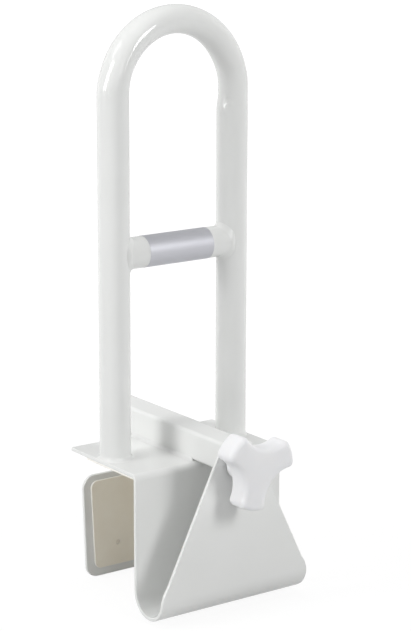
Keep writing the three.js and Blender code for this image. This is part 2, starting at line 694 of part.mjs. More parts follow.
// Knob: lobes with arcs at their tips and corners and scoops between them, a hub behind, and a
// pocket for the insert.
function knobOutline() {
  const cornerAt = KNOB_R - KNOB_CORNER;
  const scoopAt = KNOB_VALLEY_R + KNOB_SCOOP_R;
  const reach = KNOB_SCOOP_R + KNOB_CORNER;
  const half = Math.PI / KNOB_LOBES;
  const tip = half - Math.acos((cornerAt ** 2 + scoopAt ** 2 - reach ** 2) / (2 * cornerAt * scoopAt));
  const polar = (radius, angle) => [radius * Math.cos(angle), radius * Math.sin(angle)];
  const outline = new THREE.Shape();
  for (let i = 0; i < KNOB_LOBES; i += 1) {
    const lobe = KNOB_TURN + 2 * half * i;
    const [cornerX, cornerY] = polar(cornerAt, lobe + tip);
    const [scoopX, scoopY] = polar(scoopAt, lobe + half);
    const toScoop = Math.atan2(scoopY - cornerY, scoopX - cornerX);
    const sweep = 2 * (lobe + half - toScoop);
    const [nextX, nextY] = polar(cornerAt, lobe + 2 * half - tip);
    outline.absarc(0, 0, KNOB_R, lobe - tip, lobe + tip);
    outline.absarc(cornerX, cornerY, KNOB_CORNER, lobe + tip, toScoop);
    outline.absarc(scoopX, scoopY, KNOB_SCOOP_R, toScoop - Math.PI, toScoop + sweep - Math.PI, true);
    outline.absarc(nextX, nextY, KNOB_CORNER, toScoop + sweep, lobe + 2 * half - tip);
  }
  return outline;
}

function knob() {
  const body = new THREE.ExtrudeGeometry(knobOutline(), {
    depth: KNOB_DEPTH - 2 * KNOB_EDGE,
    bevelThickness: KNOB_EDGE,
    bevelSize: KNOB_EDGE,
    bevelOffset: -KNOB_EDGE,
    bevelSegments: KNOB_EDGE_STEPS,
    curveSegments: KNOB_STEPS,
  }).applyMatrix4(FRONT_VIEW).translate(0, KNOB_BACK - KNOB_EDGE, 0);
  const hub = alongY(disc(HUB_R), KNOB_BACK - KNOB_EDGE, HUB_BACK, ROUND / 2);
  const pocket = alongY(insertOutline(INSERT_R + GAP), HUB_BACK - INSERT_DEPTH - GAP, HUB_BACK + OVERRUN);
  const rodHole = alongY(disc(ROD_R + GAP), HUB_BACK - INSERT_DEPTH - DEPTH_SPARE, HUB_BACK + OVERRUN,
    SMALL_ROUND / 2);
  return onScrew(cut(join(body, hub), pocket, rodHole));
}

// Assembly
piece('hoop_tube', hoopTube(), enamel);
piece('cross_bar', crossBar(), enamel);
piece('bracket', bracket(), enamel);
piece('guide_tube', guideTube(), enamel);
piece('label', barCylinder(ring(TUBE_R + GAP + LABEL_THICK, TUBE_R + GAP), -LABEL_WIDTH / 2,
  LABEL_WIDTH / 2), foil);
piece('rim_pad', rimPad(), padRubber);
piece('fixed_jaw_pad', fixedPad(), padRubber);
piece('slide_tube', slideTube(), enamel);
piece('slide_end_cap', slideEndCap(), whiteNylon);
piece('drive_nut', driveNut(), zincSteel);
piece('moving_jaw', movingJaw(), enamel);
piece('jaw_gusset', jawGusset(), enamel);
piece('moving_jaw_pad', movingPad(), padRubber);
piece('threaded_rod', threadedRod(), zincSteel);
piece('retaining_collar', retainingCollar(), zincSteel);
piece('collar_pin', collarPin(), zincSteel);
piece('front_bush', frontBush(), darkNylon);
piece('thrust_washer', thrustWasher(), zincSteel);
piece('knob', knob(), knobPlastic);
piece('knob_insert', knobInsert(), brass);

for (const [name, side] of SIDES) {
  piece(`leg_weld_${name}`, footBead(side), enamel);
  piece(`cross_bar_weld_${name}`, barBead(side), enamel);
  piece(`guide_weld_${name}`, guideBead(side), enamel);
  piece(`front_weld_${name}`, frontBead(side), enamel);
  piece(`fixed_pad_rivet_${name}`, rivet(side, JAW_FACE + PAD_THICK, -1, fixedRivetZ()), padRubber);
  piece(`moving_pad_rivet_${name}`, rivet(side, JAW_Y - PAD_THICK, 1, movingRivetZ()), padRubber);
}

export default object;
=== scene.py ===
import json
import math

import bmesh
import bpy
from mathutils import Matrix, Vector


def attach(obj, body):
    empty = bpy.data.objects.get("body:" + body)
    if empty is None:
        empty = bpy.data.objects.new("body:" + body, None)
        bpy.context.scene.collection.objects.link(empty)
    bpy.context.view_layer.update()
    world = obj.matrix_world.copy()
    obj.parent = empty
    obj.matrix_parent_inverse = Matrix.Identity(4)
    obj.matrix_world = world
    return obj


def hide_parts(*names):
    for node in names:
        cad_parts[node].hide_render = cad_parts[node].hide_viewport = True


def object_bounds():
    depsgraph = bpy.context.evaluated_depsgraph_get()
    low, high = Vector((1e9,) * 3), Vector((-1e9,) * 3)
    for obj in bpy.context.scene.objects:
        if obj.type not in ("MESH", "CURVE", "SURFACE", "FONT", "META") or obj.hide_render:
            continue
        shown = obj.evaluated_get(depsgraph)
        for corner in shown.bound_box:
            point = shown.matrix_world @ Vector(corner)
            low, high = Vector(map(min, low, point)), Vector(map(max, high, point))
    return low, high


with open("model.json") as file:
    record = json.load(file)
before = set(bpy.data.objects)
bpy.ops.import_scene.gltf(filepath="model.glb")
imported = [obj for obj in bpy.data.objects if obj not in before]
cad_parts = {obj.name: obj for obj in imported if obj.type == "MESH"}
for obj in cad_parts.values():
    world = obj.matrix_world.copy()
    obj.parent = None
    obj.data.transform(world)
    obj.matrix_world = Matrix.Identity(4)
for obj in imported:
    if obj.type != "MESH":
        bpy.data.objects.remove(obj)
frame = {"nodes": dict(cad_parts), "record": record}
cad_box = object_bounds()
nodes = frame["nodes"]
scene = bpy.context.scene
MM = 0.001

# Materials

NOISE_LOW, NOISE_HIGH = 0.3, 0.7  # most values of a noise texture lie between these
# painted highlight: paler colour for the rubber pads' side walls, standing in for the key light
# on their edges
PAINTED_EDGE_HIGHLIGHT = (0.97, 0.95, 0.90, 1)


def new_material(name, values):
    """Principled material, its tree, its shader and object coordinates; values go on sockets."""
    material = bpy.data.materials.new(name)
    material.use_nodes = True
    tree = material.node_tree
    shader = tree.nodes["Principled BSDF"]
    for socket, value in values.items():
        shader.inputs[socket].default_value = value
    coords = tree.nodes.new("ShaderNodeTexCoord")
    return material, tree, shader, coords.outputs["Object"]


def noise(tree, coords, size_mm, detail=2.0, roughness=0.5, stretch=None):
    texture = tree.nodes.new("ShaderNodeTexNoise")
    texture.inputs["Scale"].default_value = 1.0 / (size_mm * MM)
    texture.inputs["Detail"].default_value = detail
    texture.inputs["Roughness"].default_value = roughness
    if stretch:
        mapping = tree.nodes.new("ShaderNodeMapping")
        mapping.inputs["Scale"].default_value = stretch
        tree.links.new(coords, mapping.inputs["Vector"])
        coords = mapping.outputs["Vector"]
    tree.links.new(coords, texture.inputs["Vector"])
    return texture.outputs["Fac"]


def drift(tree, value, low, high, top=NOISE_HIGH):
    """Colour between low and high that follows a noise value."""
    node = tree.nodes.new("ShaderNodeValToRGB")
    stops = zip(node.color_ramp.elements, (NOISE_LOW, top), (low, high))
    for element, position, colour in stops:
        element.position = position
        element.color = (*colour, 1.0)
    tree.links.new(value, node.inputs["Fac"])
    return node.outputs["Color"]


def span(tree, value, low, high):
    """Number between low and high that follows a noise value."""
    node = tree.nodes.new("ShaderNodeMapRange")
    node.inputs["From Min"].default_value = NOISE_LOW
    node.inputs["From Max"].default_value = NOISE_HIGH
    node.inputs["To Min"].default_value = low
    node.inputs["To Max"].default_value = high
    tree.links.new(value, node.inputs["Value"])
    return node.outputs["Result"]


def link_surface(tree, shader, colour, roughness, layers=()):
    """Links colour and roughness, and stacks bump layers of (value, height in mm, strength)."""
    tree.links.new(colour, shader.inputs["Base Color"])
    tree.links.new(roughness, shader.inputs["Roughness"])
    below = None
    for value, height_mm, strength in layers:
        node = tree.nodes.new("ShaderNodeBump")
        node.inputs["Strength"].default_value = strength
        node.inputs["Distance"].default_value = height_mm * MM
        tree.links.new(value, node.inputs["Height"])
        if below is not None:
            tree.links.new(below, node.inputs["Normal"])
        below = node.outputs["Normal"]
    if below is not None:
        tree.links.new(below, shader.inputs["Normal"])


def powder_coat(name, gloss):
    """White gloss powder coat: soft orange peel, fine grain, faint drift in colour and gloss."""
    material, tree, shader, coords = new_material(name, {
        "Specular IOR Level": 0.12,
        "Coat Weight": gloss,
        "Coat Roughness": 0.055,
        "Coat IOR": 1.5,
    })
    colour = drift(tree, noise(tree, coords, 60, 3), (0.797, 0.804, 0.792), (0.820, 0.826, 0.816))
    roughness = span(tree, noise(tree, coords, 14, 3), 0.34, 0.42)
    orange_peel = (noise(tree, coords, 3.2, 1.5), 0.05, 0.06)
    grain = (noise(tree, coords, 0.7, 1.0), 0.01, 0.05)
    link_surface(tree, shader, colour, roughness, [orange_peel, grain])
    return material


def moulded_plastic():
    """White moulded plastic: softer gloss, fine mould grain, a little light in the body."""
    material, tree, shader, coords = new_material("white_plastic", {
        "Specular IOR Level": 0.45,
        "Subsurface Weight": 0.12,
        "Subsurface Radius": (0.002, 0.0018, 0.0016),
    })
    colour = drift(tree, noise(tree, coords, 25, 2), (0.85, 0.85, 0.865), (0.87, 0.87, 0.882))
    roughness = span(tree, noise(tree, coords, 6, 3), 0.32, 0.42)
    grain = (noise(tree, coords, 0.5, 2.0), 0.012, 0.12)
    sinks = (noise(tree, coords, 9, 1.0), 0.08, 0.06)
    link_surface(tree, shader, colour, roughness, [grain, sinks])
    return material


def cream_rubber(name, across):
    """Cream rubber sheet: fine pebble, faint mottling, and a painted highlight on its side walls,
    which are the faces that look away from the axis across the sheet: their paler colour stands
    in for the key light on the sheet's edges."""
    material, tree, shader, coords = new_material(name, {"Specular IOR Level": 0.35})
    mottle = noise(tree, coords, 22, 5, 0.6)
    face = drift(tree, mottle, (0.905, 0.850, 0.735), (0.935, 0.890, 0.785), top=0.72)
    parts = tree.nodes.new("ShaderNodeSeparateXYZ")
    tree.links.new(coords.node.outputs["Normal"], parts.inputs[0])
    square = tree.nodes.new("ShaderNodeMath")
    square.operation = "MULTIPLY"
    tree.links.new(parts.outputs[across], square.inputs[0])
    tree.links.new(parts.outputs[across], square.inputs[1])
    # side walls get the painted highlight colour; the broad faces keep the rubber's own mottled
    # colour
    edge_highlight = tree.nodes.new("ShaderNodeMix")
    edge_highlight.data_type = "RGBA"
    tree.links.new(square.outputs[0], edge_highlight.inputs["Factor"])
    edge_highlight.inputs["A"].default_value = PAINTED_EDGE_HIGHLIGHT
    tree.links.new(face, edge_highlight.inputs["B"])
    roughness = span(tree, noise(tree, coords, 5, 3), 0.62, 0.78)
    pebble = (noise(tree, coords, 0.35, 1.0), 0.03, 0.35)
    waves = (noise(tree, coords, 12, 1.0), 0.15, 0.10)
    link_surface(tree, shader, edge_highlight.outputs["Result"], roughness, [pebble, waves])
    return material


def silver_foil():
    """Plain silver foil label: fine grain along the bar, slightly uneven where it lies on it."""
    material, tree, shader, coords = new_material("silver_foil", {"Metallic": 0.8})
    grain = noise(tree, coords, 0.6, 2, stretch=(0.06, 1.0, 1.0))
    colour = drift(tree, grain, (0.550, 0.553, 0.590), (0.585, 0.588, 0.625))
    unevenness = (noise(tree, coords, 9, 2.0), 0.08, 0.10)
    link_surface(tree, shader, colour, span(tree, grain, 0.47, 0.54), [unevenness])
    return material


def zinc_plate():
    material, tree, shader, coords = new_material("zinc_plate", {"Metallic": 1.0})
    cloud = noise(tree, coords, 4, 5, 0.65)
    colour = drift(tree, cloud, (0.52, 0.53, 0.55), (0.66, 0.67, 0.68))
    scratches = (noise(tree, coords, 0.5, 2, stretch=(1.0, 0.15, 1.0)), 0.01, 0.2)
    link_surface(tree, shader, colour, span(tree, cloud, 0.25, 0.45), [scratches])
    return material


def nylon(name, low, high):
    material, tree, shader, coords = new_material(name, {})
    colour = drift(tree, noise(tree, coords, 8, 3), low, high)
    roughness = span(tree, noise(tree, coords, 3, 3), 0.45, 0.6)
    link_surface(tree, shader, colour, roughness, [(noise(tree, coords, 0.4, 2), 0.012, 0.2)])
    return material


def turned_brass():
    material, tree, shader, coords = new_material("turned_brass", {"Metallic": 1.0})
    grain = noise(tree, coords, 0.5, 2, stretch=(1.0, 6.0, 1.0))
    colour = drift(tree, grain, (0.52, 0.36, 0.13), (0.68, 0.50, 0.22))
    link_surface(tree, shader, colour, span(tree, grain, 0.25, 0.4))
    return material


coat = powder_coat("white_powder_coat", 0.8)
weld_coat = powder_coat("white_powder_coat_weld", 0.2)
plastic = moulded_plastic()
rubber = cream_rubber("cream_rubber", "Y")
rubber_mat = cream_rubber("cream_rubber_mat", "Z")
foil = silver_foil()

SLOTS = {
    "enamel": coat,
    "knob_plastic": plastic,
    "pad_rubber": rubber,
    "rivet": nylon("cream_nylon", (0.80, 0.74, 0.63), (0.84, 0.78, 0.68)),
    "foil": foil,
    "zinc_steel": zinc_plate(),
    "dark_nylon": nylon("grey_nylon", (0.14, 0.14, 0.135), (0.18, 0.18, 0.175)),
    "white_nylon": nylon("white_nylon", (0.68, 0.68, 0.66), (0.74, 0.74, 0.725)),
    "brass": turned_brass(),
}
slot_of = {s["node"]: s["material_slot"] for s in frame["record"]["subparts"]}

# Finish of the CAD nodes, with modifiers and shading only

CAD_SMOOTH_ANGLE, CAD_BEVEL_ANGLE = 32.0, 35
CAD_EDGES = {
    "jaw_gusset": 0.6,
    "slide_tube": 0.3,
    "slide_end_cap": 0.5,
    "drive_nut": 0.3,
    "front_bush": 0.25,
    "thrust_washer": 0.2,
    "retaining_collar": 0.3,
}


def round_edges(piece, radius_mm):
    weld = piece.modifiers.new("weld", "WELD")
    weld.merge_threshold = 0.00001
    edge = piece.modifiers.new("edge", "BEVEL")
    edge.width = radius_mm * MM
    edge.segments = 3
    edge.limit_method = "ANGLE"
    edge.angle_limit = math.radians(CAD_BEVEL_ANGLE)


def even_normals(piece, weight=50):
    """Flat faces keep their own normals; the rounded edges take up the turn."""
    even = piece.modifiers.new("normals", "WEIGHTED_NORMAL")
    even.keep_sharp = True
    even.weight = weight
    return piece


for name, piece in nodes.items():
    piece.data.materials.clear()
    piece.data.materials.append(SLOTS[slot_of[name]])
    if name in CAD_EDGES:
        round_edges(piece, CAD_EDGES[name])
    piece.data.polygons.foreach_set("use_smooth", [True] * len(piece.data.polygons))
    piece.data.set_sharp_from_angle(angle=math.radians(CAD_SMOOTH_ANGLE))
    even_normals(piece)

# Pieces made here, in millimetres

TUBE_R = 12.7
LEG_X = 57.7
ARCH_Z = 297.3
BAR_Z = 172.0
PLATE_TOP = 5.5
PLATE_HALF = 72.0
GUIDE_HALF = 12.0
FRONT_BACK = -84.0
BEND_Y = -44.1
REAR_EDGE = 45.4
SCREW_Z = 14.3
VISUAL_WEIGHT = 80  # how strongly flat faces rule the normals of the pieces made here
SIDES = ((-1, "left"), (1, "right"))


def new_piece(mesh, work, material):
    """Object from a mesh that takes the bmesh's faces, all smooth."""
    bmesh.ops.recalc_face_normals(work, faces=work.faces)
    work.to_mesh(mesh)
    work.free()
    mesh.polygons.foreach_set("use_smooth", [True] * len(mesh.polygons))
    mesh.materials.append(material)
    piece = bpy.data.objects.new(mesh.name, mesh)
    scene.collection.objects.link(piece)
    return piece


def grid_mesh(name, rows, ring=False, material=coat, smooth_angle=40):
    """A closed skin over rows of points. Each row is a closed loop; ring joins the last row to
    the first, and without it the two end rows are capped."""
    count = len(rows[0])
    points = [Vector(p) * MM for row in rows for p in row]
    faces = []
    last = len(rows) if ring else len(rows) - 1
    for i in range(last):
        a, b = i * count, (i + 1) % len(rows) * count
        for j in range(count):
            k = (j + 1) % count
            faces.append((a + j, a + k, b + k, b + j))
    if not ring:
        faces.append(tuple(range(count))[::-1])
        faces.append(tuple(range((len(rows) - 1) * count, len(rows) * count)))
    mesh = bpy.data.meshes.new(name)
    mesh.from_pydata(points, [], faces)
    work = bmesh.new()
    work.from_mesh(mesh)
    bmesh.ops.remove_doubles(work, verts=work.verts, dist=1e-7)
    piece = new_piece(mesh, work, material)
    mesh.set_sharp_from_angle(angle=math.radians(smooth_angle))
    return piece


def place(piece, body, node=None):
    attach(piece, body)
    if node:
        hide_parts(node)
    return piece


def quarter(steps):
    """Angles from 0 to a right angle."""
    return [math.pi / 2 * k / steps for k in range(steps + 1)]


def rounded(points, steps=10):
    """Closed outline with rounded corners, from (x, y, radius)."""
    outline = []
    for i, (x, y, radius) in enumerate(points):
        here = Vector((x, y))
        before = (Vector(points[i - 1][:2]) - here).normalized()
        after = (Vector(points[(i + 1) % len(points)][:2]) - here).normalized()
        if not radius:
            outline.append(here)
            continue
        half = before.angle(after) / 2
        centre = here + (before + after).normalized() * radius / math.sin(half)
        first = here + before * radius / math.tan(half) - centre
        last = here + after * radius / math.tan(half) - centre
        start = math.atan2(first.y, first.x)
        sweep = (math.atan2(last.y, last.x) - start + math.pi) % (2 * math.pi) - math.pi
        for k in range(steps + 1):
            angle = start + sweep * k / steps
            outline.append(centre + radius * Vector((math.cos(angle), math.sin(angle))))
    return outline


INSET_REACH = 0.4  # keeps a sharp corner of an outline from moving too far


def inset(outline, distance):
    """Moves each point of a counter-clockwise outline inwards."""
    moved = []
    for i, point in enumerate(outline):
        a = (point - outline[i - 1]).normalized()
        b = (outline[(i + 1) % len(outline)] - point).normalized()
        normal = Vector((-a.y - b.y, a.x + b.x)).normalized()
        reach = max(INSET_REACH, normal.dot(Vector((-a.y, a.x))))
        moved.append(point + normal * distance / reach)
    return moved


def sheet_piece(name, outline, low, high, edges, turn, material, holes=()):
    """Flat sheet between two levels; edges are the roundings at the low and the high one, and
    turn puts (x, y, level) into the object's frame."""
    edge_low, edge_high = edges
    work = bmesh.new()

    def loop(points, level):
        return [work.verts.new(Vector(turn(p.x, p.y, level)) * MM) for p in points]

    def skin(a, b):
        for i in range(len(a)):
            k = (i + 1) % len(a)
            work.faces.new((a[i], a[k], b[k], b[i]))

    def side(points, sign):
        loops = []
        for angle in quarter(5):
            rest = edge_low * (1 - math.sin(angle))
            level = low + edge_low * (1 - math.cos(angle))
            loops.append(loop(inset(points, sign * rest), level))
        for angle in quarter(5):
            rest = edge_high * (1 - math.cos(angle))
            level = high - edge_high * (1 - math.sin(angle))
            loops.append(loop(inset(points, sign * rest), level))
        for a, b in zip(loops, loops[1:]):
            skin(a, b)
        return loops[0], loops[-1]

    rings = [side(outline, 1)]
    for hole in holes:
        rings.append(side(hole, -1))
    for end in (0, 1):
        rim = []
        for ends in rings:
            verts = ends[end]
            rim += [work.edges.get((verts[i - 1], verts[i])) for i in range(len(verts))]
        bmesh.ops.triangle_fill(work, use_beauty=True, use_dissolve=True, edges=rim)
    piece = new_piece(bpy.data.meshes.new(name), work, material)
    return even_normals(piece, VISUAL_WEIGHT)


# Weld beads
BEAD_STEPS, BEAD_ROOT, BEAD_START = 8, 1.6, 0.03
BEAD_SMOOTH = 80
RIPPLE_LENGTH = 1.35
RING_PATH = 1.2  # length of a ring bead's path for the ripples, over the tube's circumference
BEAD_UNEVENNESS = 0.12
RIPPLE_HEIGHT, BAR_RIPPLE_HEIGHT = 0.06, 0.035
SEAM_TIP = 7.0  # the bar's seam stays this far from the leg's axis at the front and the back
SEAM_POWER = 5
BAR_BEAD_ROWS, BAR_BEAD_WIDTH, BAR_BEAD_NARROWING, BAR_BEAD_LIFT = 300, 3.2, 0.5, 0.42
BAR_BEAD_TURN = 0.35  # how softly the bar's bead turns from the leg's upper side to its lower
FOOT_BEAD_ROWS, FOOT_BEAD_WIDTH, FOOT_BEAD_LIFT = 280, 3.3, 0.25
FOOT_MARGIN, FOOT_POWER = 0.5, 4  # from the foot's bead to the plate's edge, and how it nears it
LINE_STEP, LINE_LIFT, LINE_END = 0.33, 0.22, 0.05
GUIDE_BEAD_WIDTH, GUIDE_BEAD_GAP = 2.5, 0.6
FRONT_BEAD_WIDTH, FRONT_BEAD_LOW, FRONT_BEAD_HIGH = 3.0, 3.2, 20.8


def bead_row(on_a, corner, on_b, normal, lift):
    """Section of a weld bead: a hollow curve from one surface over the corner to the other, and
    a root below."""
    row = []
    for j in range(BEAD_STEPS + 1):
        t = j / BEAD_STEPS
        point = on_a * (1 - t) ** 2 + corner * 2 * t * (1 - t) + on_b * t * t
        row.append(point + normal * (BEAD_START + lift * 4 * t * (1 - t)))
    row.append(corner - normal * BEAD_ROOT)
    return row


def ripple(length_mm, seed=0.0):
    """Height of the weld's ripples, softened by the coat, from about -1 to 1."""
    bend = 0.9 * math.sin(length_mm * 0.83 + seed)
    wave = math.sin(2 * math.pi * length_mm / RIPPLE_LENGTH + bend)
    return 0.8 * wave + 0.35 * math.sin(length_mm * 0.61 + seed * 2.0)


def bar_seam(sine):
    """Distance of the cross bar's seam from the leg's axis, at the sine of the angle round it."""
    return (abs(TUBE_R * sine) ** SEAM_POWER + SEAM_TIP ** SEAM_POWER) ** (1 / SEAM_POWER)


def bar_bead(side, name):
    rows = []
    for i in range(BAR_BEAD_ROWS):
        angle = 2 * math.pi * i / BAR_BEAD_ROWS
        c, s = math.cos(angle), math.sin(angle)
        seam_x = bar_seam(s)
        sign = s * math.hypot(1, BAR_BEAD_TURN) / math.hypot(s, BAR_BEAD_TURN)
        width = BAR_BEAD_WIDTH - BAR_BEAD_NARROWING * c * c
        width += BEAD_UNEVENNESS * math.sin(3 * angle + side)
        on_leg = math.copysign(math.acos(min(1.0, seam_x / TUBE_R)), c)
        reach = width / math.hypot(1, c * sign)
        bar_angle = angle - reach * c * sign / TUBE_R
        on_bar = Vector((
            side * (LEG_X - seam_x - reach),
            TUBE_R * math.cos(bar_angle),
            BAR_Z + TUBE_R * math.sin(bar_angle),
        ))
        spread = width / math.hypot(math.sin(on_leg), sign)
        leg_angle = on_leg + spread * math.sin(on_leg) / TUBE_R
        leg_point = Vector((
            side * (LEG_X - TUBE_R * math.cos(leg_angle)),
            TUBE_R * math.sin(leg_angle),
            BAR_Z + TUBE_R * s + spread * sign,
        ))
        corner = Vector((side * (LEG_X - seam_x), TUBE_R * c, BAR_Z + TUBE_R * s))
        normal = Vector((-side * math.cos(on_leg), c + math.sin(on_leg), s)).normalized()
        lift = BAR_BEAD_LIFT + BAR_RIPPLE_HEIGHT * ripple(angle * TUBE_R * RING_PATH, side)
        rows.append(bead_row(on_bar, corner, leg_point, normal, lift))
    return grid_mesh(name, rows, ring=True, material=weld_coat, smooth_angle=BEAD_SMOOTH)


def foot_bead(side, name):
    rows = []
    for i in range(FOOT_BEAD_ROWS):
        angle = 2 * math.pi * i / FOOT_BEAD_ROWS
        c, s = math.cos(angle), math.sin(angle)
        width = FOOT_BEAD_WIDTH + BEAD_UNEVENNESS * math.sin(2 * angle + side)
        out = width
        if side * c > 0.05:  # towards the plate's edge
            edge = (PLATE_HALF - FOOT_MARGIN - LEG_X) / (side * c) - TUBE_R
            out = width * edge / (width ** FOOT_POWER + edge ** FOOT_POWER) ** (1 / FOOT_POWER)
        foot = Vector((side * LEG_X, 0, PLATE_TOP))
        outward = Vector((c, s, 0))
        corner = foot + outward * TUBE_R
        normal = (outward + Vector((0, 0, 1))).normalized()
        lift = FOOT_BEAD_LIFT + RIPPLE_HEIGHT * ripple(angle * TUBE_R * RING_PATH, side + 3)
        on_plate, on_leg = corner + outward * out, corner + Vector((0, 0, width))
        rows.append(bead_row(on_plate, corner, on_leg, normal, lift))
    return grid_mesh(name, rows, ring=True, smooth_angle=BEAD_SMOOTH)


def line_bead(name, start, end, out, up, width, seed):
    """Straight bead in a corner, tapered at its two ends."""
    start, end, out, up = Vector(start), Vector(end), Vector(out), Vector(up)
    length = (end - start).length
    count = int(length / LINE_STEP)
    normal = (out + up).normalized()
    rows = []
    for i in range(count + 1):
        along = i / count
        near = min(along, 1 - along) * length
        size = width * (1 - (1 - min(1.0, near / width)) ** 2) ** 0.5 + LINE_END
        size *= 1 + 0.03 * math.sin(along * length * 0.5 + seed)
        corner = start.lerp(end, along)
        lift = LINE_LIFT + RIPPLE_HEIGHT * ripple(along * length, seed)
        lift *= min(1.0, size / width)
        rows.append(bead_row(corner + out * size, corner, corner + up * size, normal, lift))
    return grid_mesh(name, rows, smooth_angle=BEAD_SMOOTH)


for side, word in SIDES:
    guide_x = side * GUIDE_HALF
    made = {
        f"cross_bar_weld_{word}": bar_bead(side, f"bar_bead_{word}"),
        f"leg_weld_{word}": foot_bead(side, f"foot_bead_{word}"),
        f"guide_weld_{word}": line_bead(
            f"guide_bead_{word}",
            (guide_x, BEND_Y + GUIDE_BEAD_GAP, PLATE_TOP),
            (guide_x, REAR_EDGE - GUIDE_BEAD_GAP, PLATE_TOP),
            (side, 0, 0), (0, 0, 1), GUIDE_BEAD_WIDTH, side + 5,
        ),
        f"front_weld_{word}": line_bead(
            f"front_bead_{word}",
            (guide_x, FRONT_BACK, PLATE_TOP + FRONT_BEAD_LOW),
            (guide_x, FRONT_BACK, PLATE_TOP + FRONT_BEAD_HIGH),
            (side, 0, 0), (0, 1, 0), FRONT_BEAD_WIDTH, side + 8,
        ),
    }
    for node, piece in made.items():
        place(piece, "frame", node)


# Folded bracket: rows along the sheet's middle, from the rear edge to the front plate's top
SHEET = 3.0
SHEET_MIDDLE = PLATE_TOP - SHEET / 2
EDGE_ROUND = 0.85
REAR_CORNER = 2.5
JAW_FACE, FRONT_FACE = -46.6, -87.0
FOLD_MID_Y, FOLD_MID_Z, FOLD_R = -66.8, -89.8, 18.7
BEND_R = 4.0
GUIDE_TOP = 29.5
FRONT_TOP_HALF, FRONT_TOP_CORNER = 14.0, 5.0
FLAT_STEPS, BEND_STEPS, FOLD_STEPS, FRONT_STEPS = 8, 12, 48, 20


def sheet_row(y, z, normal_y, normal_z, half=PLATE_HALF, thick=SHEET / 2):
    """Section of the sheet across the bracket, with rounded edges."""
    edge = min(EDGE_ROUND, thick)
    row = []
    for sign_x, sign_n in ((1, 1), (1, -1), (-1, -1), (-1, 1)):
        for angle in quarter(4):
            if sign_x * sign_n < 0:
                angle = math.pi / 2 - angle
            x = sign_x * (half - edge + edge * math.sin(angle))
            n = sign_n * (thick - edge + edge * math.cos(angle))
            row.append((x, y + normal_y * n, z + normal_z * n))
    return row


def end_distances(corner):
    """Distances from an end at which rows stand, close together where edge and corner are
    round."""
    steps = [EDGE_ROUND * (1 - math.cos(angle)) for angle in quarter(5)]
    steps += [corner * (1 - math.cos(angle)) for angle in quarter(9)]
    return sorted(set(round(d, 4) for d in steps))


def end_shape(distance, corner):
    """Half thickness there, and how much the corner takes off the half width."""
    lack = max(0.0, EDGE_ROUND - distance)
    thick = SHEET / 2 - EDGE_ROUND + math.sqrt(EDGE_ROUND ** 2 - lack ** 2)
    short = max(0.0, corner - distance)
    return thick, corner - math.sqrt(corner ** 2 - short ** 2)


def front_half(z):
    """Half width of the front plate, which narrows upwards."""
    share = (z - FOLD_MID_Z) / (GUIDE_TOP - FOLD_MID_Z)
    return PLATE_HALF + (FRONT_TOP_HALF - PLATE_HALF) * share


def bracket_rows():
    rows = []
    for distance in end_distances(REAR_CORNER):
        thick, off = end_shape(distance, REAR_CORNER)
        rows.append(sheet_row(REAR_EDGE - distance, SHEET_MIDDLE, 0, 1, PLATE_HALF - off, thick))
    for k in range(1, FLAT_STEPS):
        y = REAR_EDGE - REAR_CORNER + (BEND_Y - REAR_EDGE + REAR_CORNER) * k / FLAT_STEPS
        rows.append(sheet_row(y, SHEET_MIDDLE, 0, 1))
    bend_z = SHEET_MIDDLE - BEND_R
    for k in range(BEND_STEPS + 1):
        angle = math.pi / 2 * (1 + k / BEND_STEPS)
        c, s = math.cos(angle), math.sin(angle)
        rows.append(sheet_row(BEND_Y + BEND_R * c, bend_z + BEND_R * s, c, s))
    for k in range(1, FLAT_STEPS):
        z = bend_z + (FOLD_MID_Z - bend_z) * k / FLAT_STEPS
        rows.append(sheet_row(JAW_FACE - SHEET / 2, z, -1, 0))
    for k in range(FOLD_STEPS + 1):
        angle = -math.pi * k / FOLD_STEPS
        c, s = math.cos(angle), math.sin(angle)
        rows.append(sheet_row(FOLD_MID_Y + FOLD_R * c, FOLD_MID_Z + FOLD_R * s, -c, -s))
    front_y = FRONT_FACE + SHEET / 2
    for k in range(1, FRONT_STEPS):
        z = FOLD_MID_Z + (GUIDE_TOP - FRONT_TOP_CORNER - FOLD_MID_Z) * k / FRONT_STEPS
        blend = min(1.0, k / 2) ** 0.5  # the first row eases from the fold into the slant
        half = PLATE_HALF + (front_half(z) - PLATE_HALF) * blend
        rows.append(sheet_row(front_y, z, 1, 0, half))
    for distance in reversed(end_distances(FRONT_TOP_CORNER)):
        thick, off = end_shape(distance, FRONT_TOP_CORNER)
        z = GUIDE_TOP - distance
        rows.append(sheet_row(front_y, z, 1, 0, front_half(z) - off, thick))
    return rows


bracket = grid_mesh("folded_bracket", bracket_rows(), smooth_angle=70)
place(even_normals(bracket, VISUAL_WEIGHT), "frame", "bracket")


# Guide tube: square tube with an open slot below, from the front plate to its rear end
GUIDE_Z, GUIDE_WALL, GUIDE_CORNER, GUIDE_REAR, SLOT_HALF = 17.5, 1.6, 3.0, 82.0, 8.0
GUIDE_STATIONS = (  # place along the tube, and how far the edges are drawn in there
    (FRONT_BACK, 0), (-40, 0), (0, 0), (40, 0),
    (GUIDE_REAR - 0.4, 0), (GUIDE_REAR - 0.2, 0.05), (GUIDE_REAR - 0.06, 0.18), (GUIDE_REAR, 0.4),
)


def guide_section(draw_in):
    slot = SLOT_HALF + draw_in

    def skin(half, corner):
        return rounded([
            (slot, -half, 0), (half, -half, corner), (half, half, corner),
            (-half, half, corner), (-half, -half, corner), (-slot, -half, 0),
        ], 8)

    outer = skin(GUIDE_HALF - draw_in, GUIDE_CORNER - draw_in)
    inner = skin(GUIDE_HALF - GUIDE_WALL + draw_in, GUIDE_CORNER - GUIDE_WALL + draw_in)
    return outer + inner[::-1]


